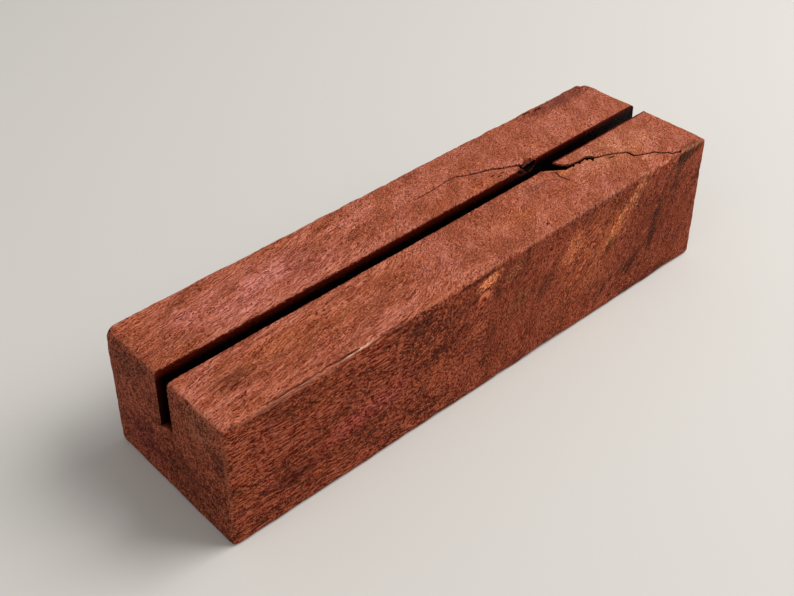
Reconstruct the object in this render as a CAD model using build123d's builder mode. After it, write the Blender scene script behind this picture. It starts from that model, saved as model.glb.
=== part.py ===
"""Photo block: one sawn hardwood batten whose top has a saw slot that holds a print upright.

X runs along the block, from its near end at -X to its far end at +X. Y runs across it, with the
front at -Y. Z is up from the face that the block rests on. Lengths are in millimetres.
"""

import os

from build123d import *

# The sawn batten, a little out of square: its far end is the taller and the narrower one
block_length = 176.0
near_width = 50.0
far_width = 48.0
near_height = 38.0
far_height = 41.0
back_fall = 0.8
end_skew = 1.5
arris_radius = 1.0
saw_overrun = 5.0

# The saw slot: drying has drawn it in towards the crack, and past the crack it stands further back
slot_depth = 17.0
slot_near_width = 5.0
slot_pinched_width = 4.6
slot_split_width = 4.45
slot_far_width = 4.25
slot_near_shift = -0.2
slot_split_shift = 0.85
slot_far_shift = 1.0

# The drying crack, which crosses the slot near the far end
crack_from_far_end = 45.0
front_crack_run = 36.0
front_crack_reach = 23.5
front_crack_depth = 9.0
back_crack_run = 38.0
back_crack_reach = 12.8
back_crack_depth = 6.0
crack_floor_share = 0.3

# The slot's back edge, splintered away where the crack comes to it
splinter_run = 13.0
splinter_width = 1.8
splinter_depth = 2.6
splinter_start_share = 0.1

# Both lips of the crack's front half, from the slot to the front arris: along its run, across its reach
front_near_lip_shares = (
    (-0.07, -0.04), (-0.066, -0.115), (0.01, -0.2), (0.09, -0.293), (0.158, -0.281), (0.194, -0.277),
    (0.239, -0.302), (0.311, -0.289), (0.336, -0.332), (0.378, -0.357), (0.433, -0.396),
    (0.508, -0.443), (0.611, -0.54), (0.617, -0.579), (0.614, -0.655), (0.644, -0.689),
    (0.714, -0.74), (0.781, -0.791), (0.789, -0.83), (0.817, -0.877), (0.85, -0.906),
    (0.864, -0.94), (0.942, -0.985),
)
front_far_lip_shares = (
    (0.1, -0.04), (0.111, -0.111), (0.125, -0.166), (0.167, -0.23), (0.194, -0.234), (0.239, -0.249),
    (0.281, -0.251), (0.342, -0.238), (0.372, -0.281), (0.397, -0.332), (0.45, -0.379),
    (0.519, -0.426), (0.625, -0.523), (0.636, -0.57), (0.633, -0.643), (0.658, -0.672),
    (0.722, -0.719), (0.792, -0.774), (0.803, -0.817), (0.828, -0.86), (0.858, -0.889),
    (0.872, -0.928), (0.96, -0.976),
)

# Both lips of the crack's back half, from the slot to its tip
back_near_lip_shares = (
    (-0.005, 0.08), (-0.08, 0.255), (-0.165, 0.375), (-0.25, 0.485), (-0.318, 0.63), (-0.408, 0.725),
    (-0.463, 0.79), (-0.517, 0.865), (-0.57, 0.972), (-0.665, 0.984), (-0.75, 0.955),
    (-0.88, 0.942), (-0.995, 0.935),
)
back_far_lip_shares = (
    (0.03, 0.1), (-0.068, 0.3), (-0.153, 0.43), (-0.233, 0.54), (-0.302, 0.69), (-0.398, 0.77),
    (-0.455, 0.825), (-0.51, 0.9), (-0.562, 0.996), (-0.663, 1.01), (-0.748, 0.978),
    (-0.878, 0.96), (-1.0, 0.945),
)

# What follows from those sizes
near_end = -block_length / 2
far_end = block_length / 2
crack_x = far_end - crack_from_far_end
top_rise = far_height - near_height
side_taper = (near_width - far_width) / 2
floor_height = (near_height + far_height - back_fall) / 2 - slot_depth

# The planes of the saw cuts, each with its normal pointing out of the wood
up_the_top = Vector(block_length, 0, top_rise)
down_the_back = Vector(0, near_width, -back_fall)
top_cut = Plane(
    origin=(near_end, -near_width / 2, near_height),
    x_dir=up_the_top,
    z_dir=up_the_top.cross(down_the_back),
)
front_cut = Plane(
    origin=(near_end, -near_width / 2, 0),
    z_dir=(side_taper, -block_length, 0),
)
back_cut = Plane(
    origin=(near_end, near_width / 2, 0),
    z_dir=(side_taper, block_length, 0),
)
near_end_cut = Plane(
    origin=(near_end, -near_width / 2, 0),
    z_dir=(-near_width, end_skew, 0),
)
slot_floor = Plane(
    origin=(0, 0, floor_height),
    x_dir=up_the_top,
    z_dir=(-top_rise, 0, block_length),
)


def slot_plan(start_x, start_width, start_shift, end_x, end_width, end_shift):
    """The plan of one straight stretch of the slot, between two widths that stand off its middle."""
    return (
        (start_x, start_shift - start_width / 2),
        (end_x, end_shift - end_width / 2),
        (end_x, end_shift + end_width / 2),
        (start_x, start_shift + start_width / 2),
    )


def lip_points(shares, run, reach):
    """One lip of a crack, from where it leaves the slot to its tip."""
    return [Vector(crack_x + run * along, reach * across) for along, across in shares]


def crack_plan(near_lip, far_lip, gap_share):
    """The outline of a crack whose lips are drawn together to this share of their gap."""
    draw = (1 - gap_share) / 2
    near_side = [near + (far - near) * draw for near, far in zip(near_lip, far_lip)]
    far_side = [far + (near - far) * draw for near, far in zip(near_lip, far_lip)]
    return near_side + far_side[::-1]


front_lips = (
    lip_points(front_near_lip_shares, front_crack_run, front_crack_reach),
    lip_points(front_far_lip_shares, front_crack_run, front_crack_reach),
)
back_lips = (
    lip_points(back_near_lip_shares, back_crack_run, back_crack_reach),
    lip_points(back_far_lip_shares, back_crack_run, back_crack_reach),
)
near_stretch = slot_plan(
    near_end - saw_overrun, slot_near_width, slot_near_shift,
    crack_x, slot_pinched_width, slot_near_shift,
)
far_stretch = slot_plan(
    crack_x, slot_split_width, slot_split_shift,
    far_end + saw_overrun, slot_far_width, slot_far_shift,
)

with BuildPart() as photo_block:
    # The batten is sawn from a squared length, and handling has rounded its arrises
    with BuildSketch():
        Rectangle(block_length, near_width)
    extrude(amount=far_height + saw_overrun)
    for cut in (top_cut, front_cut, back_cut, near_end_cut):
        split(bisect_by=cut, keep=Keep.BOTTOM)
    fillet(photo_block.edges(), radius=arris_radius)

    # The slot follows the top down to an even depth
    with BuildSketch(slot_floor):
        for stretch in (near_stretch, far_stretch):
            with BuildLine():
                Polyline(*stretch, close=True)
            make_face()
    extrude(amount=slot_depth + saw_overrun, mode=Mode.SUBTRACT)

    # Each half of the crack closes up as it goes down
    for lips, depth in ((front_lips, front_crack_depth), (back_lips, back_crack_depth)):
        with BuildSketch(Plane.XY.offset(far_height)) as crack_mouth:
            with BuildLine():
                Polyline(*crack_plan(*lips, gap_share=1), close=True)
            make_face()
        with BuildSketch(Plane.XY.offset(far_height - depth)) as crack_floor:
            with BuildLine():
                Polyline(*crack_plan(*lips, gap_share=crack_floor_share), close=True)
            make_face()
        loft(sections=(crack_floor.sketch, crack_mouth.sketch), ruled=True, mode=Mode.SUBTRACT)

    # The splintered edge grows from nothing to its full size at the crack
    splinter_sections = []
    back_edge = slot_near_shift + slot_pinched_width / 2
    for section_x, size_share in ((crack_x - splinter_run, splinter_start_share), (crack_x, 1)):
        edge = Plane(origin=(section_x, back_edge, far_height), x_dir=(0, 1, 0), z_dir=(1, 0, 0))
        with BuildSketch(edge) as splinter_section:
            with BuildLine():
                Polyline(
                    (-slot_pinched_width / 2, 0),
                    (splinter_width * size_share, 0),
                    (0, -splinter_depth * size_share),
                    (-slot_pinched_width / 2, -splinter_depth * size_share),
                    close=True,
                )
            make_face()
        splinter_sections.append(splinter_section.sketch)
    loft(sections=splinter_sections, ruled=True, mode=Mode.SUBTRACT)

photo_block.part.label = "photo_block"

os.makedirs("parts", exist_ok=True)
export_step(photo_block.part, "parts/photo_block.step")
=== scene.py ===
"""Photo block: the looks of one sawn batten of dark red hardwood with a saw slot and a drying crack."""

import functools
import math

import bmesh
import bpy
from mathutils import Matrix, Vector, noise


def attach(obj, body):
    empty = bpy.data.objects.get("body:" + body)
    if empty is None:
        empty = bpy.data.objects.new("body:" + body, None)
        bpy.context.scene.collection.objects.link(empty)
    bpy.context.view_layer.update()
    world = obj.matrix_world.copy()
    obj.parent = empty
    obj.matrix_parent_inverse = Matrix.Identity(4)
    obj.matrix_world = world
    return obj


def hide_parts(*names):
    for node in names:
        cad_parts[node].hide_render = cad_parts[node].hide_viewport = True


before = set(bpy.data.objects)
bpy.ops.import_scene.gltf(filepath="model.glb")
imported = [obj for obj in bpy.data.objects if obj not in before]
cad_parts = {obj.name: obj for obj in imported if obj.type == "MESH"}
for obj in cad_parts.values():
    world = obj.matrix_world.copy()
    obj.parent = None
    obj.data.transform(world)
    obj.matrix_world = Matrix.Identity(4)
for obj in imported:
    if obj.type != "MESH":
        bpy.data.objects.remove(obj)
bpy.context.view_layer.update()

mm = 0.001

# The sawn batten, a little out of square: its far end is the taller and the narrower one
block_length = 176.0 * mm
near_width = 50.0 * mm
far_width = 48.0 * mm
near_height = 38.0 * mm
far_height = 41.0 * mm
back_fall = 0.8 * mm
end_skew = 1.5 * mm
arris_radius = 1.0 * mm

# The saw slot: drying has drawn it in towards the crack, and past the crack it stands further back
slot_depth = 17.0 * mm
slot_near_width = 5.0 * mm
slot_pinched_width = 4.6 * mm
slot_split_width = 4.45 * mm
slot_far_width = 4.25 * mm
slot_near_shift = -0.2 * mm
slot_split_shift = 0.85 * mm
slot_far_shift = 1.0 * mm

# The drying crack, which crosses the slot near the far end
crack_from_far_end = 45.0 * mm
front_crack_run = 36.0 * mm
front_crack_reach = 23.5 * mm
front_crack_depth = 9.0 * mm
back_crack_run = 38.0 * mm
back_crack_reach = 12.8 * mm
back_crack_depth = 6.0 * mm
crack_floor_share = 0.3

# Both lips of the crack's front half, from the slot to the front arris: along its run, across its reach
front_near_lip_shares = (
    (-0.07, -0.04), (-0.066, -0.115), (0.01, -0.2), (0.09, -0.293), (0.158, -0.281), (0.194, -0.277),
    (0.239, -0.302), (0.311, -0.289), (0.336, -0.332), (0.378, -0.357), (0.433, -0.396),
    (0.508, -0.443), (0.611, -0.54), (0.617, -0.579), (0.614, -0.655), (0.644, -0.689),
    (0.714, -0.74), (0.781, -0.791), (0.789, -0.83), (0.817, -0.877), (0.85, -0.906),
    (0.864, -0.94), (0.942, -0.985),
)
front_far_lip_shares = (
    (0.1, -0.04), (0.111, -0.111), (0.125, -0.166), (0.167, -0.23), (0.194, -0.234), (0.239, -0.249),
    (0.281, -0.251), (0.342, -0.238), (0.372, -0.281), (0.397, -0.332), (0.45, -0.379),
    (0.519, -0.426), (0.625, -0.523), (0.636, -0.57), (0.633, -0.643), (0.658, -0.672),
    (0.722, -0.719), (0.792, -0.774), (0.803, -0.817), (0.828, -0.86), (0.858, -0.889),
    (0.872, -0.928), (0.96, -0.976),
)

# Both lips of the crack's back half, from the slot to its tip
back_near_lip_shares = (
    (-0.005, 0.08), (-0.08, 0.255), (-0.165, 0.375), (-0.25, 0.485), (-0.318, 0.63), (-0.408, 0.725),
    (-0.463, 0.79), (-0.517, 0.865), (-0.57, 0.972), (-0.665, 0.984), (-0.75, 0.955),
    (-0.88, 0.942), (-0.995, 0.935),
)
back_far_lip_shares = (
    (0.03, 0.1), (-0.068, 0.3), (-0.153, 0.43), (-0.233, 0.54), (-0.302, 0.69), (-0.398, 0.77),
    (-0.455, 0.825), (-0.51, 0.9), (-0.562, 0.996), (-0.663, 1.01), (-0.748, 0.978),
    (-0.878, 0.96), (-1.0, 0.945),
)

# What follows from those sizes
near_end = -block_length / 2
far_end = block_length / 2
crack_x = far_end - crack_from_far_end
top_rise = far_height - near_height
middle_floor_height = (near_height + far_height - back_fall) / 2 - slot_depth


def smooth_step(low, high, value):
    """0 below low, 1 above high, and a smooth rise between."""
    share = min(max((value - low) / (high - low), 0.0), 1.0)
    return share * share * (3 - 2 * share)


def roughness_at(place, span, seed):
    """Smooth noise from about -1 to 1, with swells about as wide as the span."""
    return noise.noise(place / span + Vector((seed, seed, seed)))


# The shape of the sawn batten

def along_share(x):
    """How far x is from the near end, as a share of the block's length."""
    return (x - near_end) / block_length


def half_width(x):
    """Half the batten's width at x."""
    return (near_width + (far_width - near_width) * along_share(x)) / 2


def top_height(x, y):
    """The height of the sawn top, which rises to the far end and falls to the back."""
    return near_height + top_rise * along_share(x) - back_fall * (y / near_width + 0.5)


def floor_height(x):
    """The height of the slot's floor, which rises with the top."""
    return middle_floor_height + top_rise * x / block_length


# The slot's walls step back over this length where the crack crosses
slot_step_start = crack_x - 4.5 * mm
slot_step_end = crack_x + 3.0 * mm

# The saw tore the slot's back edge and left its front edge crisp
torn_edge = 0.32 * mm
crisp_edge = 0.1 * mm
torn_edge_span = 2.9 * mm
fine_tear_span = 0.95 * mm
torn_edge_depth = 1.2 * mm


def slot_wall(x, side, below_top):
    """Where the slot's wall stands at x, on the front side (-1) or the back side (1)."""
    near_share = min(along_share(x) / along_share(crack_x), 1.0)
    near_gap = slot_near_width + (slot_pinched_width - slot_near_width) * near_share
    near_wall = slot_near_shift + side * near_gap / 2
    far_share = max((x - crack_x) / (far_end - crack_x), 0.0)
    shift = slot_split_shift + (slot_far_shift - slot_split_shift) * far_share
    far_wall = shift + side * (slot_split_width + (slot_far_width - slot_split_width) * far_share) / 2
    wall = near_wall + (far_wall - near_wall) * smooth_step(slot_step_start, slot_step_end, x)
    tear = torn_edge if side > 0 else crisp_edge
    along_slot = Vector((x, 0, 0))
    tear *= roughness_at(along_slot, torn_edge_span, side) + roughness_at(along_slot, fine_tear_span, side)
    return wall + side * tear * (1 - smooth_step(0, torn_edge_depth, below_top))


def slot_gap(x):
    """The slot's width at x, below its torn edges."""
    return slot_wall(x, 1, slot_depth) - slot_wall(x, -1, slot_depth)


def slot_middle(x):
    """Where the middle of the slot stands at x, below its torn edges."""
    return (slot_wall(x, 1, slot_depth) + slot_wall(x, -1, slot_depth)) / 2


# The surface lattice, whose lines crowd at the arrises, where the wood is worn
lattice_spacing = 0.68 * mm
arris_segments = 3
crowding_share = 0.42
half_channel = slot_near_width / 2
channel_floor = near_height - slot_depth
parallel_share = 0.999
on_slot_slack = 1.01
least_arris_angle = 1.0
cut_tolerance = 0.0001 * mm


def along_axis(edge, axis):
    """True if the edge runs along that axis."""
    run = edge.verts[1].co - edge.verts[0].co
    return abs(run[axis]) > parallel_share * run.length


def cut_across(bm, axis, places):
    """Cuts a mesh's faces at these places along an axis."""
    normal = Vector([step == axis for step in range(3)])
    for place in places:
        bmesh.ops.bisect_plane(
            bm, geom=bm.verts[:] + bm.edges[:] + bm.faces[:], dist=cut_tolerance, plane_co=normal * place,
            plane_no=normal,
        )


def channelled_batten():
    """A squared batten with a channel along its top and its outer arrises rounded."""
    bm = bmesh.new()
    size = Matrix.Diagonal((block_length, near_width, near_height, 1))
    bmesh.ops.create_cube(bm, size=1, matrix=Matrix.Translation((0, 0, near_height / 2)) @ size)
    cut_across(bm, 1, (-half_channel, half_channel))
    cut_across(bm, 2, (channel_floor,))
    in_channel = []
    for face in bm.faces:
        middle = face.calc_center_median()
        if abs(middle.y) < half_channel and middle.z > channel_floor:
            in_channel.append(face)
    bmesh.ops.delete(bm, geom=in_channel, context="FACES")
    mouths = [edge for edge in bm.edges if edge.is_boundary and not along_axis(edge, 0)]
    bmesh.ops.bridge_loops(bm, edges=mouths)
    bmesh.ops.recalc_face_normals(bm, faces=bm.faces[:])
    arrises = []
    for edge in bm.edges:
        middle = (edge.verts[0].co + edge.verts[1].co) / 2
        on_slot = abs(middle.y) < half_channel * on_slot_slack and middle.z > arris_radius
        if edge.calc_face_angle() > least_arris_angle and not on_slot:
            arrises.append(edge)
    bmesh.ops.bevel(
        bm, geom=arrises, offset=arris_radius, offset_type="OFFSET", segments=arris_segments,
        profile=0.5, affect="EDGES", material=-1,
    )
    cut_across(bm, 0, (near_end + arris_radius, far_end - arris_radius))
    cut_across(bm, 2, (near_height - arris_radius,))
    return bm


def divide(bm, axis):
    """Cuts every edge along an axis to the lattice's spacing."""
    by_cuts = {}
    for edge in bm.edges:
        cuts = round(edge.calc_length() / lattice_spacing) - 1
        if cuts > 0 and along_axis(edge, axis):
            by_cuts.setdefault(cuts, []).append(edge)
    for cuts, edges in by_cuts.items():
        bmesh.ops.subdivide_edges(bm, edges=edges, cuts=cuts, use_grid_fill=True)


def crowded(value, low, high):
    """A value between two limits, shifted towards the nearer one."""
    if not low < value < high:
        return value
    share = (value - low) / (high - low)
    return value - crowding_share * (high - low) * math.sin(share * math.tau) / math.tau


def seat(place):
    """Takes a place on the squared batten to its place on the sawn one."""
    x = place.x
    side = 1 if place.y > 0 else -1
    across = crowded(abs(place.y), half_channel, near_width / 2 - arris_radius)
    up = place.z
    if up > channel_floor:
        up = crowded(up, channel_floor, near_height - arris_radius)
    else:
        up = crowded(up, arris_radius, channel_floor)
    below_top = max(near_height - up, 0)
    if across <= half_channel:
        front = slot_wall(x, -1, below_top)
        back = slot_wall(x, 1, below_top)
        y = front + (back - front) * (side * across / half_channel + 1) / 2
    else:
        wall = slot_wall(x, side, below_top)
        outward = (across - half_channel) / (near_width / 2 - half_channel)
        y = wall + (side * half_width(x) - wall) * outward
    floor = floor_height(x)
    if up > channel_floor:
        z = floor + (top_height(x, y) - floor) * (up - channel_floor) / slot_depth
    else:
        z = floor * up / channel_floor
    skew = end_skew * (y / near_width + 0.5) * (1 - along_share(x))
    return Vector((x + skew, y, z))


# How the grain runs: level near the near end, then rising and turning to the back past the bends
back_turn_start = -20.0 * mm
back_turn_ease = 24.0 * mm
first_back_slope = 0.2
later_back_slope = 0.42
rise_start = -12.0 * mm
rise_ease = 22.0 * mm
rise_slope = 0.95


def eased_ramp(value, ease):
    """0 below zero and the value above it, with a smooth bend as long as the ease."""
    return (value + math.sqrt(value * value + ease * ease)) / 2


def fibre_place(place):
    """A place's coordinates along, across and up the bending fibres."""
    turned = first_back_slope * place.x
    turned += later_back_slope * eased_ramp(place.x - back_turn_start, back_turn_ease)
    risen = rise_slope * eased_ramp(place.x - rise_start, rise_ease)
    return Vector((place.x, place.y - turned, place.z - risen))


# The skin's relief: it is uneven, torn along the grain, and worn and nicked at its arrises
uneven_depth = 0.12 * mm
uneven_span = 17.0 * mm
torn_grain_depth = 0.09 * mm
torn_grain_length = 7.0 * mm
torn_grain_width = 1.5 * mm
wear_depth = 0.3 * mm
wear_reach = 2.4 * mm
wear_span = 8.0 * mm
wear_bias = 0.3
nick_depth = 0.5 * mm
nick_reach = 1.3 * mm
nick_span = 1.7 * mm
nick_onset = 0.2

# Chips in the skin: place along, across and up; half length, half breadth and depth as shares of the height
chip_rag_share = 1.2
chip_shares = (
    (0.004, 0.5, 0.97, 0.07, 0.06, 0.035),
    (0.0, 0.28, 0.99, 0.03, 0.1, 0.016),
    (0.0, 0.1, 1.0, 0.03, 0.06, 0.014),
    (0.0, -0.2, 1.0, 0.03, 0.1, 0.012),
    (0.0, -0.5, 0.04, 0.05, 0.06, 0.014),
    (0.0, 0.5, 0.2, 0.04, 0.04, 0.02),
    (0.0, 0.5, 0.55, 0.03, 0.03, 0.018),
    (0.0, 0.5, 0.75, 0.03, 0.05, 0.014),
    (0.998, 0.47, 1.05, 0.09, 0.08, 0.024),
    (0.805, 0.49, 1.05, 0.17, 0.035, 0.02),
    (0.74, 0.49, 1.05, 0.12, 0.03, 0.013),
    (0.925, 0.485, 1.05, 0.1, 0.03, 0.013),
    (0.28, -0.5, 1.0, 0.16, 0.02, 0.009),
    (0.43, -0.49, 1.02, 0.1, 0.025, 0.009),
    (0.9, -0.47, 1.07, 0.22, 0.08, 0.009),
    (0.62, -0.48, 0.0, 0.3, 0.03, 0.012),
)

# The splintered facet on the slot's back edge, up to the crack
facet_start = crack_x - 13.0 * mm
facet_width = 1.5 * mm
facet_depth = 2.4 * mm
facet_across_share = 2
facet_down_share = 1.6
facet_drop_share = 0.5
facet_rag_share = 0.8


def skin_distances(place):
    """How far a place lies inside the batten's ends, its sides, and its top and underside."""
    back_share = place.y / near_width + 0.5
    in_from_end = min(place.x - near_end - end_skew * back_share, far_end - place.x)
    in_from_side = half_width(place.x) - abs(place.y)
    in_from_face = min(top_height(place.x, place.y) - place.z, place.z)
    return in_from_end, in_from_side, in_from_face


def below_skin(place):
    """How far a place lies below the unworn skin with its rounded arrises."""
    distances = [max(distance, 0) for distance in skin_distances(place)]
    short_of_radius = [max(arris_radius - distance, 0) for distance in distances]
    if not any(short_of_radius):
        return min(distances)
    return max(arris_radius - Vector(short_of_radius).length, 0)


def chip_depth(place):
    """How deep the chips go at a place."""
    deepest = 0
    for along, across, up, long_share, broad_share, depth_share in chip_shares:
        centre = Vector((near_end + along * block_length, across * near_width, up * near_height))
        offset = place - centre
        broad = broad_share * near_height
        reach = Vector((offset.x / (long_share * near_height), offset.y / broad, offset.z / broad)).length
        if reach < 1:
            deepest = max(deepest, depth_share * near_height * (1 - reach * reach))
    return deepest * (1 + roughness_at(place, nick_span, 4) * chip_rag_share)


def relief(place):
    """How deep sawing, wear and knocks have gone at a place."""
    along_fibres = fibre_place(place)
    along_fibres.x *= torn_grain_width / torn_grain_length
    depth = uneven_depth * (0.5 + roughness_at(place, uneven_span, 1) / 2)
    depth += torn_grain_depth * (0.5 + roughness_at(along_fibres, torn_grain_width, 2))
    in_from_arris = sorted(skin_distances(place))[1]
    wear = wear_depth * max(wear_bias + roughness_at(place, wear_span, 3), 0)
    depth += wear * (1 - smooth_step(0, wear_reach, in_from_arris))
    nick = nick_depth * max(roughness_at(place, nick_span, 5) - nick_onset, 0)
    depth += nick * (1 - smooth_step(0, nick_reach, in_from_arris))
    return max(depth + chip_depth(place), 0)


def splinter_away(place):
    """Moves a place on the slot's back edge back and down, where the edge has splintered."""
    growth = smooth_step(facet_start, crack_x, place.x) * (1 - smooth_step(crack_x, slot_step_end, place.x))
    beside_wall = place.y - slot_wall(place.x, 1, 0)
    below_top = top_height(place.x, place.y) - place.z
    if growth == 0 or beside_wall < -half_channel / 4:
        return place
    ragged = 1 + facet_rag_share * roughness_at(place, torn_edge_span, 6)
    nearness = 1 - smooth_step(0, facet_width * facet_across_share, beside_wall)
    nearness *= 1 - smooth_step(0, facet_depth * facet_down_share, below_top)
    push = growth * nearness * ragged
    return place + Vector((0, facet_width * push, -facet_depth * facet_drop_share * push))


def as_object(bm, name):
    """A bmesh as an object in the scene."""
    mesh = bpy.data.meshes.new(name)
    bm.to_mesh(mesh)
    bm.free()
    piece = bpy.data.objects.new(name, mesh)
    bpy.context.scene.collection.objects.link(piece)
    return piece


# The cracks and slits are cut with wedges, ragged along their lips
lip_steps = 5
lip_rag = 0.16 * mm
lip_rag_span = 1.3 * mm
fine_rag = 0.05 * mm
fine_rag_span = 0.45 * mm
lip_opening = 0.13 * mm
mouth_overrun = 1.5 * mm
crack_level_shares = (0.12, 0.4, 0.7, 1.0)
noise.seed_set(3)


def lip_points(shares, run, reach):
    """One lip of a crack, from where it leaves the slot to its tip."""
    corners = [Vector((crack_x + run * along, reach * across, 0)) for along, across in shares]
    points = []
    for start, end in zip(corners, corners[1:]):
        points += [start.lerp(end, step / lip_steps) for step in range(lip_steps)]
    return points + corners[-1:]


def add_wedge(bm, near_lip, far_lip, mouth_height, depth):
    """Adds a cutter whose ragged lips are drawn together on the way down to its floor."""
    mouth = near_lip + far_lip[::-1]
    number = bm.verts.layers.int.get("number") or bm.verts.layers.int.new("number")
    ring = bmesh.ops.create_circle(bm, cap_ends=True, segments=len(mouth), radius=depth)["verts"]
    for index, vert in enumerate(ring):
        vert[number] = index
    top = [ring[0].link_faces[0]]
    cap = top
    for level in (-mouth_overrun / depth, *crack_level_shares):
        if level > 0:
            grown = bmesh.ops.extrude_face_region(bm, geom=cap)["geom"]
            if cap != top:
                bmesh.ops.delete(bm, geom=cap, context="FACES_ONLY")
            ring = [part for part in grown if isinstance(part, bmesh.types.BMVert)]
            cap = [part for part in grown if isinstance(part, bmesh.types.BMFace)]
        drawn_in = (1 - crack_floor_share) * max(level, 0) / 2
        for vert in ring:
            point = mouth[vert[number]]
            facing = mouth[-1 - vert[number]]
            opening = (point - facing).normalized() * lip_opening * (1 - drawn_in)
            place = point.lerp(facing, drawn_in) + opening
            place.z = mouth_height - level * depth
            rag = noise.noise_vector(place / lip_rag_span) * lip_rag
            rag += noise.noise_vector(place / fine_rag_span) * fine_rag
            vert.co = place + Vector((rag.x, rag.y, 0))


# Short slits: their path along and across as shares of the block, with their widths and depths
slit_thin = 0.3 * mm
slit_wide = 0.6 * mm
slit_shallow = 0.9 * mm
slit_deep = 2.2 * mm
slit_point_share = 0.12
slit_steps = 6
slits = (
    (((0.7455, -0.1), (0.7405, -0.155), (0.7425, -0.19), (0.7435, -0.222)), slit_thin, slit_deep),
    (((0.838, 0.452), (0.848, 0.457), (0.858, 0.452)), slit_wide, slit_deep),
    (((0.862, 0.437), (0.872, 0.441), (0.881, 0.433)), slit_wide, slit_deep),
    (((0.835, -0.226), (0.842, -0.223), (0.848, -0.229)), slit_wide, slit_shallow),
    (((0.784, -0.118), (0.781, -0.13), (0.777, -0.145)), slit_wide, slit_shallow),
    (((0.795, -0.124), (0.794, -0.137), (0.791, -0.149)), slit_wide, slit_shallow),
    (((0.812, -0.126), (0.81, -0.14), (0.807, -0.154)), slit_wide, slit_shallow),
    (((0.82, -0.148), (0.816, -0.163), (0.813, -0.178)), slit_wide, slit_shallow),
    (((0.072, -0.484), (0.12, -0.4835), (0.168, -0.4855)), slit_thin, slit_shallow),
    (((0.168, -0.481), (0.205, -0.4825), (0.236, -0.4845)), slit_thin, slit_shallow),
    (((0.285, -0.4855), (0.305, -0.4815), (0.325, -0.483)), slit_thin, slit_shallow),
    (((0.668, 0.078), (0.672, 0.083), (0.678, 0.082)), slit_thin, slit_shallow),
    (((0.676, 0.094), (0.682, 0.1), (0.688, 0.094)), slit_thin, slit_shallow),
    (((0.66, 0.11), (0.666, 0.114), (0.669, 0.112)), slit_thin, slit_shallow),
)


def slit_lips(path_shares, width):
    """The two lips of a slit that comes to a point at both ends."""
    corners = []
    for along, across in path_shares:
        corners.append(Vector((near_end + along * block_length, across * near_width, 0)))
    near_lip = []
    far_lip = []
    steps = slit_steps * (len(corners) - 1)
    for step in range(steps + 1):
        stretch = min(step // slit_steps, len(corners) - 2)
        start, end = corners[stretch], corners[stretch + 1]
        middle = start.lerp(end, step / slit_steps - stretch)
        outward = (end - start).cross(Vector((0, 0, 1))).normalized()
        half_gap = width / 2 * (slit_point_share + math.sin(math.pi * step / steps))
        near_lip.append(middle + outward * half_gap)
        far_lip.append(middle - outward * half_gap)
    return near_lip, far_lip


def cut_away(block, bm):
    """Cuts the cutters in a bmesh out of the block."""
    bmesh.ops.recalc_face_normals(bm, faces=bm.faces[:])
    bmesh.ops.triangulate(bm, faces=bm.faces[:])
    cutter = as_object(bm, "cutter")
    cut = block.modifiers.new("cut", "BOOLEAN")
    cut.operation = "DIFFERENCE"
    cut.solver = "MANIFOLD"
    cut.object = cutter
    uncut = block.data
    depsgraph = bpy.context.evaluated_depsgraph_get()
    block.data = bpy.data.meshes.new_from_object(block.evaluated_get(depsgraph))
    block.modifiers.clear()
    bpy.data.meshes.remove(uncut)
    bpy.data.objects.remove(cutter)


def cut_cracks(block):
    """Cuts both halves of the drying crack, and then the short slits."""
    cracks = bmesh.new()
    for near_shares, far_shares, run, reach, depth in (
        (front_near_lip_shares, front_far_lip_shares, front_crack_run, front_crack_reach, front_crack_depth),
        (back_near_lip_shares, back_far_lip_shares, back_crack_run, back_crack_reach, back_crack_depth),
    ):
        near_lip = lip_points(near_shares, run, reach)
        far_lip = lip_points(far_shares, run, reach)
        add_wedge(cracks, near_lip, far_lip, far_height, depth)
    cut_away(block, cracks)
    short_slits = bmesh.new()
    for path_shares, width, depth in slits:
        near_lip, far_lip = slit_lips(path_shares, width)
        add_wedge(short_slits, near_lip, far_lip, top_height(near_lip[0].x, near_lip[0].y), depth)
    cut_away(block, short_slits)


# Edges sharper than this keep their crease in the shading, and points closer than this are one
crease_angle = math.radians(38)
merge_distance = 0.002 * mm
sliver_length = 0.001 * mm


def finish_mesh(mesh):
    """Closes tiny gaps, splits what isn't a triangle or quad, shades it smooth and stores its distances."""
    bm = bmesh.new()
    bm.from_mesh(mesh)
    bmesh.ops.remove_doubles(bm, verts=bm.verts[:], dist=merge_distance)
    bmesh.ops.dissolve_degenerate(bm, edges=bm.edges[:], dist=sliver_length)
    bmesh.ops.triangulate(bm, faces=[face for face in bm.faces if len(face.verts) > 4])
    bm.to_mesh(mesh)
    bm.free()
    mesh.shade_smooth()
    mesh.set_sharp_from_angle(angle=crease_angle)
    places = [vertex.co for vertex in mesh.vertices]
    for name, measure in (
        ("below_skin", below_skin),
        ("below_top", lambda place: top_height(place.x, place.y) - place.z),
        ("from_arris", lambda place: sorted(skin_distances(place))[1]),
        ("from_slot", lambda place: abs(place.y - slot_middle(place.x)) - slot_gap(place.x) / 2),
    ):
        layer = mesh.attributes.new(name, "FLOAT", "POINT")
        layer.data.foreach_set("value", [measure(place) / mm for place in places])


def make_block():
    """The whole block: sawn, worn, chipped, slotted and cracked."""
    bm = channelled_batten()
    for axis in range(3):
        divide(bm, axis)
    for vert in bm.verts:
        vert.co = seat(vert.co)
    bm.normal_update()
    worn = []
    for vert in bm.verts:
        worn.append(splinter_away(vert.co) - vert.normal * relief(vert.co))
    for vert, place in zip(bm.verts, worn):
        vert.co = place
        vert.co.z = max(place.z, 0)
    block = as_object(bm, "hardwood_block")
    cut_cracks(block)
    finish_mesh(block.data)
    return block


# Colour and grain

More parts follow.
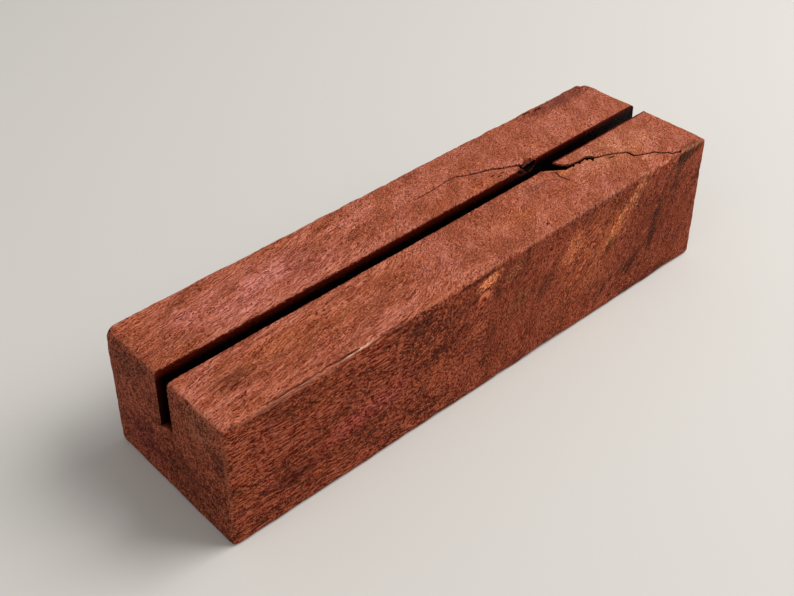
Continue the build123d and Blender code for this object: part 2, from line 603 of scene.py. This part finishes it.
def linear(hex_colour):
    """An sRGB hex colour as linear red, green, blue and alpha."""
    channels = [int(hex_colour[start:start + 2], 16) / 255 for start in (1, 3, 5)]
    return [c / 12.92 if c <= 0.04045 else ((c + 0.055) / 1.055) ** 2.4 for c in channels] + [1]


def add_node(tree, kind, inputs=None, **settings):
    """Adds a shader node, sets it up, and feeds its inputs, by name or number, from nodes or values."""
    node = tree.nodes.new("ShaderNode" + kind)
    for name, value in settings.items():
        setattr(node, name, value)
    for name, value in (inputs or {}).items():
        if isinstance(value, bpy.types.Node):
            value = value.outputs[0]
        if isinstance(value, bpy.types.NodeSocket):
            tree.links.new(value, node.inputs[name])
        else:
            node.inputs[name].default_value = value
    return node


# The grain in millimetres; single pores and fibres are finer in the wood, and are drawn coarser to show
sway_span = 19.0
near_sway_reach = 2.0
far_sway_reach = 9.0
ripple_span = 2.4
straight_ripple_reach = 0.25
wild_ripple_reach = 1.1
top_ripple_reach = 1.7
band_length, band_width = 70.0, 5.5
mottle_span = 13.0
patch_length, patch_width = 16.0, 7.0
furrow_length, furrow_width = 26.0, 1.1
streak_length, streak_width = 9.0, 0.36
fuzz_length, fuzz_width = 2.6, 0.3
hair_length, hair_width = 8.0, 0.85
scratch_length, scratch_width = 18.0, 1.0
grit_span = 0.42
pore_length, pore_width = 3.4, 0.42
fleck_length, fleck_width = 1.5, 0.36
grain_relief = 0.2 * mm

# How much the grain's layers shade the wood, and how strongly they show on each kind of face
furrow_weight = 0.7
streak_weight = 2.8
grit_weight = 2.0
end_tear_weight = 2.2
side_contrast_before_bend = 3.3
side_contrast_past_bend = 2.3
top_contrast = 1.25
end_contrast = 3.5
hollow_strength = 0.85
crest_strength = 0.6

# How much of the skin its pale and red flecks take
pale_share = 0.25
red_cells_share = 0.16

# How far down the slot its darker red, partly the saw's scorched tone and partly painted shade, and its
# painted black shade start and are full, and how far in they start at the mouth
shaded_red_start, shaded_red_full = 0.7, 1.2
black_shade_start, black_shade_full = 0.2, 3.8
mouth_start, mouth_end = 1.0, 3.0
crack_blend_reach = 4.0

# How dull the skin is
smoothest, roughest = 0.55, 0.75
specular_level = 0.14

# The small knot on the front, which the fibres flow round
knot_shares = (0.475, -0.5, 0.8)
knot_push = 0.6
knot_reach = 7.0

# Stains that tint the grain: place along, across and up, half sizes in heights, turn, colour and strength
side_ground = "#983a20"
side_stain_shares = (
    # On the front: patches where the figured grain turns, lighter past the knot and dark at the far end
    ((0.72, -0.5, 0.6), (0.6, 0.1, 0.32), 45, "#b04a28", 0.8),
    ((0.9, -0.5, 0.5), (0.42, 0.1, 0.7), 85, "#7c2a14", 0.5),
    ((0.955, -0.5, 1.03), (0.26, 0.1, 0.08), 18, "#54220f", 0.9),
    ((0.93, -0.5, 0.85), (0.3, 0.1, 0.07), 78, "#5a200e", 0.7),
    ((0.86, -0.5, 0.03), (0.5, 0.1, 0.07), 2, "#6c2410", 0.7),
    ((0.508, -0.5, 0.78), (0.05, 0.1, 0.05), 0, "#6c2410", 0.8),
    ((0.468, -0.5, 0.57), (0.2, 0.06, 0.08), 75, "#b04a28", 0.6),
    ((0.345, -0.5, 0.9), (0.16, 0.06, 0.09), 5, "#541a0c", 0.8),
    ((0.676, -0.5, 0.8), (0.22, 0.08, 0.1), 50, "#c45630", 1.0),
    ((0.614, -0.5, 0.59), (0.16, 0.08, 0.08), 48, "#6c2814", 0.8),
    ((0.557, -0.5, 0.605), (0.18, 0.08, 0.1), 45, "#904020", 0.6),
    ((0.88, -0.5, 0.5), (0.3, 0.08, 0.07), 80, "#5c200e", 0.9),
    ((0.832, -0.5, 0.29), (0.17, 0.08, 0.07), 42, "#5c200e", 0.8),
    ((0.767, -0.5, 0.6), (0.14, 0.08, 0.04), 60, "#60240e", 0.8),
    ((0.756, -0.5, 0.2), (0.12, 0.08, 0.06), 35, "#602814", 0.7),
    ((0.945, -0.5, 0.42), (0.26, 0.08, 0.08), 72, "#b04428", 0.8),
    ((0.795, -0.5, 0.8), (0.38, 0.08, 0.08), 46, "#ca5a34", 1.0),
    ((0.83, -0.5, 0.95), (0.16, 0.08, 0.09), 46, "#b85230", 0.8),
    ((0.54, -0.5, 0.9), (0.14, 0.08, 0.06), 40, "#b85630", 0.7),
    ((0.25, -0.5, 0.45), (0.5, 0.1, 0.1), 8, "#a43c2c", 0.6),
    ((0.12, -0.5, 0.3), (0.5, 0.1, 0.07), 0, "#6c2210", 0.7),
    ((0.4, -0.5, 0.6), (0.5, 0.1, 0.06), 12, "#6c2210", 0.7),
    ((0.74, -0.5, 1.04), (0.75, 0.06, 0.04), 1, "#6c2c1a", 0.6),
    # Round and over the knot, whose plume is tan
    ((0.475, -0.5, 0.808), (0.1, 0.1, 0.06), 40, "#b04424", 0.8),
    ((0.487, -0.5, 0.94), (0.15, 0.1, 0.055), 18, "#f07040", 1.0),
    ((0.49, -0.5, 0.95), (0.16, 0.1, 0.06), 22, "#b84c2c", 0.9),
    # On the near end: a browner patch, a blackened one and a redder one
    ((0.0, -0.3, 0.86), (0.1, 0.22, 0.2), 0, "#9a4428", 0.8),
    ((0.0, -0.45, 0.66), (0.1, 0.1, 0.14), 0, "#6c2818", 0.6),
    ((0.0, 0.25, 0.25), (0.1, 0.3, 0.25), 0, "#943024", 0.6),
    ((0.0, -0.1, 0.28), (0.1, 0.6, 0.2), 0, "#7a2a16", 0.7),
)
top_ground = "#a6523a"
top_stain_shares = (
    # Rosy, grey and orange tints, and the raised flake beside the crack
    ((0.69, -0.14, 1.04), (0.13, 0.04, 0.1), 0, "#864232", 0.7),
    ((0.63, 0.09, 1.03), (0.2, 0.06, 0.1), 0, "#b45634", 0.7),
    ((0.549, 0.105, 1.03), (0.2, 0.05, 0.1), 0, "#b45634", 0.6),
    ((0.068, -0.24, 1.0), (0.2, 0.1, 0.1), 0, "#8c452f", 0.7),
    ((0.2, -0.2, 1.0), (0.6, 0.12, 0.1), 0, "#a85234", 0.7),
    ((0.267, -0.42, 1.0), (0.7, 0.1, 0.1), 0, "#ac5844", 0.6),
    ((0.449, -0.26, 1.02), (0.3, 0.12, 0.1), 0, "#a85642", 0.6),
    ((0.597, -0.26, 1.03), (0.3, 0.12, 0.1), 0, "#ae5636", 0.7),
    ((0.756, -0.36, 1.05), (0.3, 0.1, 0.1), 0, "#ae5a46", 0.7),
    ((0.43, 0.36, 1.0), (0.55, 0.03, 0.1), 0, "#b8604a", 0.7),
    ((0.92, 0.42, 1.05), (0.42, 0.09, 0.1), 0, "#78382c", 0.8),
    ((0.86, -0.17, 1.06), (0.5, 0.25, 0.1), 0, "#ba674a", 0.8),
    ((0.2, 0.25, 1.0), (0.8, 0.25, 0.1), 0, "#b96254", 0.5),
    ((0.52, -0.1, 1.0), (0.5, 0.1, 0.1), 0, "#9c4a32", 0.6),
    ((0.758, -0.145, 1.06), (0.08, 0.045, 0.1), -10, "#cc6e4a", 1.0),
)

# Crisp marks over the grain, given in the same way
mark_shares = (
    # The knot on the front: a bright crescent and its dark pit
    ((0.477, -0.5, 0.824), (0.07, 0.1, 0.048), 10, "#e8845a", 1.0),
    ((0.4735, -0.5, 0.808), (0.032, 0.1, 0.026), 10, "#9c3018", 0.9),
    ((0.4775, -0.5, 0.796), (0.018, 0.1, 0.016), 10, "#3c0e06", 0.9),
    ((0.826, -0.5, 0.835), (0.012, 0.06, 0.018), 70, "#d89a80", 0.6),
    ((0.859, -0.5, 0.516), (0.04, 0.06, 0.01), 20, "#d89878", 0.6),
    # Along the front's top arris: a pale splinter and bruised wood before it, and past it dark lines that
    # are painted shadow under the arris
    ((0.24, -0.495, 1.01), (0.2, 0.018, 0.018), 2, "#f0c0a0", 1.0),
    ((0.13, -0.5, 0.985), (0.55, 0.05, 0.025), 1, "#c07860", 0.4),
    ((0.46, -0.5, 0.995), (0.3, 0.05, 0.018), 1, "#38120a", 0.7),
    ((0.31, -0.5, 0.985), (0.16, 0.05, 0.018), 1, "#30100a", 0.7),
    # On the top: a speck
    ((0.63, -0.42, 1.04), (0.016, 0.012, 0.1), 0, "#3a140c", 0.8),
    # On the near end: pale torn fibres along its top arris and down its front one, partly a painted
    # highlight on those arrises
    ((0.0, 0.35, 0.985), (0.05, 0.22, 0.05), 0, "#b86c46", 0.5),
    ((0.0, -0.27, 0.995), (0.03, 0.3, 0.022), 0, "#cc8062", 0.7),
    ((0.0, -0.5, 0.6), (0.018, 0.018, 0.6), 0, "#ac6446", 0.5),
)


def placed(shares):
    """A place in millimetres from its shares of the block's length, width and height."""
    along, across, up = shares
    return (near_end + along * block_length) / mm, across * near_width / mm, up * near_height / mm


def hardwood():
    """Rough-sawn dark red hardwood, oiled once and handled: dull, with open pores and pale torn fibres."""
    material = bpy.data.materials.new("rough_sawn_oiled_red_hardwood")
    material.use_nodes = True
    tree = material.node_tree
    tree.nodes.clear()
    node = functools.partial(add_node, tree)

    coordinates = node("TexCoord")

    # Which way the skin faces: the top is handled most and gets paler colours, partly as painted sheen; the
    # ends are end grain
    facing = node("SeparateXYZ", {0: coordinates.outputs["Normal"]})
    upward = node("MapRange", {0: facing.outputs["Z"], 1: 0.5, 2: 0.95}, interpolation_type="SMOOTHSTEP")
    endward = node("Math", {0: facing.outputs["X"]}, operation="ABSOLUTE")
    endward = node("MapRange", {0: endward, 1: 0.5, 2: 0.9}, interpolation_type="SMOOTHSTEP")

    # The place in millimetres, pushed aside round the knot and swayed, most past the grain's bend and on top
    place = node("VectorMath", {0: coordinates.outputs["Object"], "Scale": 1 / mm}, operation="SCALE")
    along = node("SeparateXYZ", {0: place}).outputs["X"]
    from_knot = node("VectorMath", {0: place, 1: placed(knot_shares)}, operation="SUBTRACT")
    knot_distance = node("VectorMath", {0: from_knot}, operation="LENGTH").outputs["Value"]
    push = node(
        "MapRange", {0: knot_distance, 1: 0.0, 2: knot_reach, 3: -knot_push, 4: 0.0},
        interpolation_type="SMOOTHSTEP",
    )
    pushed = node("VectorMath", {0: from_knot, "Scale": push}, operation="SCALE")
    bent = node("VectorMath", {0: place, 1: pushed}, operation="ADD")
    past_bend = node("MapRange", {0: along, 1: back_turn_start / mm, 2: rise_ease / mm})
    sway_reach = node("MapRange", {0: past_bend, 3: near_sway_reach, 4: far_sway_reach})
    ripple_reach = node("MapRange", {0: past_bend, 3: straight_ripple_reach, 4: wild_ripple_reach})
    ripple_reach = node("MapRange", {0: upward, 3: ripple_reach, 4: top_ripple_reach})
    for span, reach in ((sway_span, sway_reach), (ripple_span, ripple_reach)):
        swell = node("TexNoise", {"Vector": place, "Scale": 1 / span, "Detail": 1.0})
        sway = node("VectorMath", {0: swell.outputs["Color"], 1: (0.5, 0.5, 0.5)}, operation="SUBTRACT")
        sway = node("VectorMath", {0: sway, "Scale": reach}, operation="SCALE")
        bent = node("VectorMath", {0: bent, 1: sway}, operation="ADD")

    # Coordinates along, across and up the bending fibres
    axes = node("SeparateXYZ", {0: bent})
    past_turn = node("Math", {0: axes.outputs["X"], 1: back_turn_start / mm}, operation="SUBTRACT")
    later_turn = node("Math", {0: past_turn, 1: 0.0, 2: back_turn_ease / mm}, operation="SMOOTH_MAX")
    turned = node("Math", {0: axes.outputs["X"], 1: first_back_slope}, operation="MULTIPLY")
    turned = node("Math", {0: later_turn, 1: later_back_slope, 2: turned}, operation="MULTIPLY_ADD")
    past_rise = node("Math", {0: axes.outputs["X"], 1: rise_start / mm}, operation="SUBTRACT")
    risen = node("Math", {0: past_rise, 1: 0.0, 2: rise_ease / mm}, operation="SMOOTH_MAX")
    risen = node("Math", {0: risen, 1: rise_slope}, operation="MULTIPLY")
    across = node("Math", {0: axes.outputs["Y"], 1: turned}, operation="SUBTRACT")
    up = node("Math", {0: axes.outputs["Z"], 1: risen}, operation="SUBTRACT")
    fibre = node("CombineXYZ", {"X": axes.outputs["X"], "Y": across, "Z": up})

    # Noise drawn out along the fibres: colour bands and patches, long furrows, streaks and short torn fuzz
    drawn = {}
    for name, length, width, detail, roughness in (
        ("band", band_length, band_width, 2.0, 0.6),
        ("patch", patch_length, patch_width, 2.0, 0.6),
        ("furrow", furrow_length, furrow_width, 2.0, 0.7),
        ("streak", streak_length, streak_width, 1.0, 0.5),
        ("fuzz", fuzz_length, fuzz_width, 0.0, 0.5),
        ("hair", hair_length, hair_width, 1.0, 0.6),
        ("scratch", scratch_length, scratch_width, 1.0, 0.6),
    ):
        scaled = node(
            "VectorMath",
            {0: fibre, 1: (1 / length, 1 / width, 1 / width), 2: (length, width, width)},
            operation="MULTIPLY_ADD",
        )
        drawn[name] = node(
            "TexNoise", {"Vector": scaled, "Scale": 1.0, "Detail": detail, "Roughness": roughness},
        )
    mottle = node("TexNoise", {"Vector": place, "Scale": 1 / mottle_span, "Detail": 4.0, "Roughness": 0.6})
    grit = node("TexNoise", {"Vector": place, "Scale": 1 / grit_span, "Detail": 0.0})

    # Open pores are dark dashes that keep to the furrows, and torn fibre ends are pale or red flecks
    cells = {}
    for name, length, width in (("pore", pore_length, pore_width), ("fleck", fleck_length, fleck_width)):
        scaled = node("VectorMath", {0: fibre, 1: (1 / length, 1 / width, 1 / width)}, operation="MULTIPLY")
        cells[name] = node("TexVoronoi", {"Vector": scaled, "Scale": 1.0})
    ragged = node("Math", {0: drawn["furrow"], 1: 0.9, 2: cells["pore"]}, operation="MULTIPLY_ADD")
    ragged = node("Math", {0: grit, 1: 0.5, 2: ragged}, operation="MULTIPLY_ADD")
    pore = node("MapRange", {0: ragged, 1: 1.04, 2: 0.86}, interpolation_type="SMOOTHSTEP")
    ragged = node("Math", {0: grit, 1: 0.5, 2: cells["fleck"]}, operation="MULTIPLY_ADD")
    spot = node("MapRange", {0: ragged, 1: 0.6, 2: 0.4}, interpolation_type="SMOOTHSTEP")
    fleck_kind = node("SeparateXYZ", {0: cells["fleck"].outputs["Color"]})
    pale = node("Math", {0: fleck_kind.outputs["X"], 1: 1 - pale_share}, operation="GREATER_THAN")
    red = node("Math", {0: fleck_kind.outputs["X"], 1: red_cells_share}, operation="LESS_THAN")
    pale = node("Math", {0: pale, 1: spot}, operation="MULTIPLY")
    red = node("Math", {0: red, 1: spot}, operation="MULTIPLY")

    # Raised fibres are thin pale hairs and torn ones dark scratches, where a slower noise crosses its middle
    lines = {}
    for name, widest, thinnest in (("hair", 0.1, 0.035), ("scratch", 0.07, 0.02)):
        off_middle = node("Math", {0: drawn[name], 1: 0.5}, operation="SUBTRACT")
        off_middle = node("Math", {0: off_middle}, operation="ABSOLUTE")
        line = node("MapRange", {0: off_middle, 1: widest, 2: thinnest})
        broken = node("MapRange", {0: drawn["streak"], 1: 0.4, 2: 0.5})
        lines[name] = node("Math", {0: line, 1: broken}, operation="MULTIPLY")
    in_patches = node("MapRange", {0: drawn["patch"], 1: 0.42, 2: 0.58, 3: 0.25, 4: 1.0})
    off_patches = node("MapRange", {0: drawn["patch"], 1: 0.62, 2: 0.45, 3: 0.25, 4: 1.0})
    hair = node("Math", {0: lines["hair"], 1: in_patches}, operation="MULTIPLY")
    scratch = node("Math", {0: lines["scratch"], 1: off_patches}, operation="MULTIPLY")

    # The ground colour swings between deep red, brown and orange, paler on top, partly as painted sheen
    deep_share = node("MapRange", {0: drawn["band"], 1: 0.35, 2: 0.65})
    warm_share = node("MapRange", {0: mottle, 1: 0.45, 2: 0.75})
    wood = node("MixRGB", {"Fac": deep_share, "Color1": linear("#842812"), "Color2": linear("#a84022")})
    wood = node("MixRGB", {"Fac": warm_share, "Color1": wood, "Color2": linear("#ac481e")})
    top_wood = node("MixRGB", {"Fac": deep_share, "Color1": linear("#9a462e"), "Color2": linear("#ac5436")})
    top_wood = node("MixRGB", {"Fac": warm_share, "Color1": top_wood, "Color2": linear("#ac5430")})
    wood = node("MixRGB", {"Fac": upward, "Color1": wood, "Color2": top_wood})
    wood = node("MixRGB", {"Fac": endward, "Color1": wood, "Color2": linear("#9c3e26")})

    # Patches of it turn rosy or brown, the rosy ones on top where the wood is handled, their pale rose
    # partly painted sheen
    rosy = node("MapRange", {0: drawn["patch"], 1: 0.5, 2: 0.66, 3: 0.0, 4: 0.5})
    rose = node("MixRGB", {"Fac": upward, "Color1": linear("#8c2e20"), "Color2": linear("#b46254")})
    wood = node("MixRGB", {"Fac": rosy, "Color1": wood, "Color2": rose})
    brown = node("MapRange", {0: drawn["patch"], 1: 0.5, 2: 0.34, 3: 0.0, 4: 0.5})
    umber = node("MixRGB", {"Fac": upward, "Color1": linear("#743416"), "Color2": linear("#944c2a")})
    wood = node("MixRGB", {"Fac": brown, "Color1": wood, "Color2": umber})

    def mark(wood, rows, raggedness, inner_reach, ground=None):
        """Lays marks frayed along the furrows over the wood, or tints it by them where a ground is given."""
        fray = node(
            "Math", {0: drawn["furrow"], 1: raggedness, 2: -raggedness / 2}, operation="MULTIPLY_ADD",
        )
        for shares, sizes, turn, colour, strength in rows:
            within = node(
                "Mapping",
                {
                    "Vector": place, "Location": placed(shares), "Rotation": (0, -math.radians(turn), 0),
                    "Scale": [size * near_height / mm for size in sizes],
                },
                vector_type="TEXTURE",
            )
            reach = node("VectorMath", {0: within}, operation="LENGTH").outputs["Value"]
            reach = node("Math", {0: reach, 1: fray}, operation="ADD")
            share = node(
                "MapRange", {0: reach, 1: 1.1, 2: inner_reach, 3: 0.0, 4: strength},
                interpolation_type="SMOOTHSTEP",
            )
            if ground:
                tint = [part / ground_part for part, ground_part in zip(linear(colour), linear(ground))]
                wood = node("MixRGB", {"Fac": share, "Color1": wood, "Color2": tint}, blend_type="MULTIPLY")
            else:
                wood = node("MixRGB", {"Fac": share, "Color1": wood, "Color2": linear(colour)})
        return wood

    # Furrows, streaks and grit lighten and darken it, most on the sawn ends and on the sides before the bend
    middle_shade = (furrow_weight + streak_weight + grit_weight) / 2
    shade = node("Math", {0: drawn["furrow"], 1: furrow_weight, 2: -middle_shade}, operation="MULTIPLY_ADD")
    shade = node("Math", {0: drawn["streak"], 1: streak_weight, 2: shade}, operation="MULTIPLY_ADD")
    shade = node("Math", {0: grit, 1: grit_weight, 2: shade}, operation="MULTIPLY_ADD")
    end_tear = node("Math", {0: drawn["furrow"], 1: 0.5}, operation="SUBTRACT")
    end_tear = node("Math", {0: end_tear, 1: endward}, operation="MULTIPLY")
    shade = node("Math", {0: end_tear, 1: end_tear_weight, 2: shade}, operation="MULTIPLY_ADD")
    contrast = node("MapRange", {0: past_bend, 3: side_contrast_before_bend, 4: side_contrast_past_bend})
    contrast = node("MapRange", {0: upward, 3: contrast, 4: top_contrast})
    contrast = node("Math", {0: endward, 1: end_contrast, 2: contrast}, operation="MULTIPLY_ADD")
    shade = node("Math", {0: shade, 1: contrast}, operation="MULTIPLY")
    hollow = node("MapRange", {0: shade, 1: 0.0, 2: -1.0, 3: 0.0, 4: hollow_strength})
    wood = node("MixRGB", {"Fac": hollow, "Color1": wood, "Color2": linear("#481004")})
    crest = node("MapRange", {0: shade, 1: 0.0, 2: 1.2, 3: 0.0, 4: crest_strength})
    light = node("MixRGB", {"Fac": upward, "Color1": linear("#d87c5a"), "Color2": linear("#dc8a6c")})
    wood = node("MixRGB", {"Fac": crest, "Color1": wood, "Color2": light})
    handled = node("Math", {0: past_bend, 1: 0.5, 2: upward}, operation="MULTIPLY_ADD")
    dark_strength = node("MapRange", {0: handled, 1: 0.0, 2: 1.5, 3: 0.9, 4: 0.45})
    dark_share = node("Math", {0: pore, 1: scratch}, operation="MAXIMUM")
    dark_share = node("Math", {0: dark_share, 1: dark_strength}, operation="MULTIPLY")
    dark = node("MixRGB", {"Fac": upward, "Color1": linear("#300a04"), "Color2": linear("#50160c")})
    wood = node("MixRGB", {"Fac": dark_share, "Color1": wood, "Color2": dark})
    light_strength = node("MapRange", {0: handled, 3: 0.45, 4: 0.6})
    light_share = node("Math", {0: pale, 1: hair}, operation="MAXIMUM")
    light_share = node("Math", {0: light_share, 1: light_strength}, operation="MULTIPLY")
    wood = node("MixRGB", {"Fac": light_share, "Color1": wood, "Color2": light})
    red_share = node("Math", {0: red, 1: 0.5}, operation="MULTIPLY")
    wood = node("MixRGB", {"Fac": red_share, "Color1": wood, "Color2": linear("#b84430")})
    wood = mark(wood, side_stain_shares, raggedness=1.8, inner_reach=0.4, ground=side_ground)
    wood = mark(wood, top_stain_shares, raggedness=1.8, inner_reach=0.4, ground=top_ground)
    wood = mark(wood, mark_shares, raggedness=1.0, inner_reach=0.6)

    # Wear pales the arrises, and what lies deeper below the skin is darkened
    from_arris = node("Attribute", attribute_name="from_arris").outputs["Fac"]
    from_arris = node("Math", {0: drawn["fuzz"], 1: -2.4, 2: from_arris}, operation="MULTIPLY_ADD")
    from_arris = node("Math", {0: mottle, 1: -1.6, 2: from_arris}, operation="MULTIPLY_ADD")
    worn = node(
        "MapRange", {0: from_arris, 1: -1.0, 2: -2.0, 3: 0.0, 4: 0.6}, interpolation_type="SMOOTHSTEP",
    )
    wood = node("MixRGB", {"Fac": worn, "Color1": wood, "Color2": linear("#c47a5e")})
    below = node("Attribute", attribute_name="below_skin").outputs["Fac"]
    depth_darkened = node("MapRange", {0: below, 1: 0.4, 2: 1.0, 3: 0.0, 4: 0.7}, interpolation_type="SMOOTHSTEP")
    wood = node("MixRGB", {"Fac": depth_darkened, "Color1": wood, "Color2": linear("#380f07")})

    # Painted shade in the slot: its walls turn darker red a little way down, partly the saw's scorched tone,
    # and black further down; the cracks and the deepest chips and nicks are painted black as shade
    from_slot = node("Attribute", attribute_name="from_slot").outputs["Fac"]
    in_slot = node("MapRange", {0: from_slot, 1: 0.7, 2: 0.4})
    off_end = node("Math", {0: 1.0, 1: endward}, operation="SUBTRACT")
    in_slot = node("Math", {0: in_slot, 1: off_end}, operation="MULTIPLY")
    below_top = node("Attribute", attribute_name="below_top").outputs["Fac"]
    down = node("Math", {0: drawn["fuzz"], 1: 1.2, 2: below_top}, operation="MULTIPLY_ADD")
    blend_start = crack_x / mm - crack_blend_reach
    blend_end = crack_x / mm + crack_blend_reach
    past_crack = node("MapRange", {0: along, 1: blend_start, 2: blend_end})
    down = node("Math", {0: past_crack, 1: 0.8, 2: down}, operation="MULTIPLY_ADD")
    # The darker red band down the walls: partly their scorched tone, partly painted shade
    shaded_red = node("MapRange", {0: down, 1: shaded_red_start, 2: shaded_red_full, 3: 0.0, 4: 0.95})
    at_mouth = node("MapRange", {0: upward, 3: 0.8, 4: 0.0})
    from_mouth = node("Math", {0: along, 1: near_end / mm}, operation="SUBTRACT")
    reached = node("MapRange", {0: from_mouth, 1: mouth_start, 2: mouth_end, 3: at_mouth, 4: 1.0})
    reached = node("Math", {0: reached, 1: in_slot}, operation="MULTIPLY")
    shaded_red = node("Math", {0: shaded_red, 1: reached}, operation="MULTIPLY")
    wood = node("MixRGB", {"Fac": shaded_red, "Color1": wood, "Color2": linear("#621608")})
    # Painted black shade, deepening down the slot
    black_shade = node("MapRange", {0: down, 1: black_shade_start, 2: black_shade_full}, interpolation_type="SMOOTHSTEP")
    black_shade = node("Math", {0: black_shade, 1: reached}, operation="MULTIPLY")
    # Painted black shade in the cracks and the deepest chips and nicks, sooner on steep faces
    steep = node("MapRange", {0: facing.outputs["Z"], 1: 0.6, 2: 0.3, 3: 2.6, 4: 0.9})
    deep = node("MapRange", {0: below, 1: 0.35, 2: steep}, interpolation_type="SMOOTHSTEP")
    off_slot = node("Math", {0: 1.0, 1: in_slot}, operation="SUBTRACT")
    deep = node("Math", {0: deep, 1: off_slot}, operation="MULTIPLY")
    black_shade = node("Math", {0: black_shade, 1: deep}, operation="MAXIMUM")
    wood = node("MixRGB", {"Fac": black_shade, "Color1": wood, "Color2": linear("#040101")})
    # Painted shade on the sheen: it is taken out of pores, scratches, the darker grain and the slot's
    # painted shade
    sunk = node("Math", {0: dark_share, 1: hollow}, operation="MAXIMUM")
    sunk = node("Math", {0: sunk, 1: black_shade}, operation="MAXIMUM")
    sunk = node("Math", {0: sunk, 1: shaded_red}, operation="MAXIMUM")
    sheen_left = node("MixRGB", {"Fac": sunk, "Color1": linear("#ffd8c8"), "Color2": linear("#000000")})

    # Torn streaks and hairs stand up, and pores and scratches are sunk
    height = node("Math", {0: drawn["streak"], 1: drawn["furrow"]}, operation="ADD")
    height = node("Math", {0: dark_share, 1: -0.8, 2: height}, operation="MULTIPLY_ADD")
    height = node("Math", {0: pale, 1: 0.4, 2: height}, operation="MULTIPLY_ADD")
    height = node("Math", {0: hair, 1: 0.3, 2: height}, operation="MULTIPLY_ADD")
    bump = node("Bump", {"Height": height, "Strength": 1.0, "Distance": grain_relief})
    roughness = node("MapRange", {0: drawn["fuzz"], 1: 0.3, 2: 0.7, 3: smoothest, 4: roughest})
    shader = node(
        "BsdfPrincipled",
        {
            "Base Color": wood, "Roughness": roughness, "Normal": bump, "Specular IOR Level": specular_level,
            "Specular Tint": sheen_left,
        },
    )
    node("OutputMaterial", {"Surface": shader})
    return material


block = make_block()
block.data.materials.clear()
block.data.materials.append(hardwood())
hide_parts("photo_block")
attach(block, "root")


def pale_board():
    """Pale matt board, plain to the eye, that throws less light back on the block than it shows."""
    material = bpy.data.materials.new("pale_matt_board")
    material.use_nodes = True
    tree = material.node_tree
    rays = add_node(tree, "LightPath").outputs
    seen = rays["Is Camera Ray"]
    for kind in ("Is Glossy Ray", "Is Transmission Ray"):
        seen = add_node(tree, "Math", {0: seen, 1: rays[kind]}, operation="MAXIMUM")
    colour = add_node(
        tree, "MixRGB", {"Fac": seen, "Color1": linear("#8c7c6c"), "Color2": linear("#d4d0c9")},
    )
    shader = tree.nodes["Principled BSDF"]
    tree.links.new(colour.outputs[0], shader.inputs["Base Color"])
    shader.inputs["Roughness"].default_value = 0.9
    return material


# The stage: a plain pale floor under soft light from the right
floor_size = 6000.0 * mm
floor_mesh = bmesh.new()
bmesh.ops.create_grid(floor_mesh, x_segments=1, y_segments=1, size=floor_size / 2)
floor = as_object(floor_mesh, "floor")
floor.data.materials.append(pale_board())


light_distance = 900.0 * mm
light_size = 700.0 * mm
light_aim = Vector((60.0 * mm, 0, 20.0 * mm))
sky_strength = 0.32


def place_facing(thing, name, aim, azimuth, elevation, distance):
    """Puts a lamp or a camera at these angles in degrees round its aim, with azimuth 0 towards -Y."""
    turn, rise = math.radians(azimuth), math.radians(elevation)
    outward = Vector((math.sin(turn) * math.cos(rise), -math.cos(turn) * math.cos(rise), math.sin(rise)))
    placed_object = bpy.data.objects.new(name, thing)
    bpy.context.scene.collection.objects.link(placed_object)
    placed_object.location = aim + outward * distance
    placed_object.rotation_euler = outward.to_track_quat("Z", "Y").to_euler()
    return placed_object


for name, azimuth, elevation, watts in (("key_light", 56, 52, 9.2), ("fill_light", -80, 30, 1.2)):
    light = bpy.data.lights.new(name, "AREA")
    light.shape = "SQUARE"
    light.size = light_size
    light.energy = watts
    place_facing(light, name, light_aim, azimuth, elevation, light_distance)

world = bpy.data.worlds.new("studio")
bpy.context.scene.world = world
world.use_nodes = True
world.node_tree.nodes["Background"].inputs["Color"].default_value = linear("#ffffff")
world.node_tree.nodes["Background"].inputs["Strength"].default_value = sky_strength

# The camera stands where the photograph was taken from
camera_azimuth = -42.67
camera_elevation = 38.06
camera_distance = 355.26 * mm
camera_aim = Vector((-11.27 * mm, 1.2 * mm, 20 * mm))
lens = bpy.data.cameras.new("camera")
lens.lens = 59.47
lens.sensor_width = 36
lens.clip_start = 10 * mm
bpy.context.scene.camera = place_facing(
    lens, "camera", camera_aim, camera_azimuth, camera_elevation, camera_distance,
)
bpy.context.scene.view_settings.view_transform = "Standard"
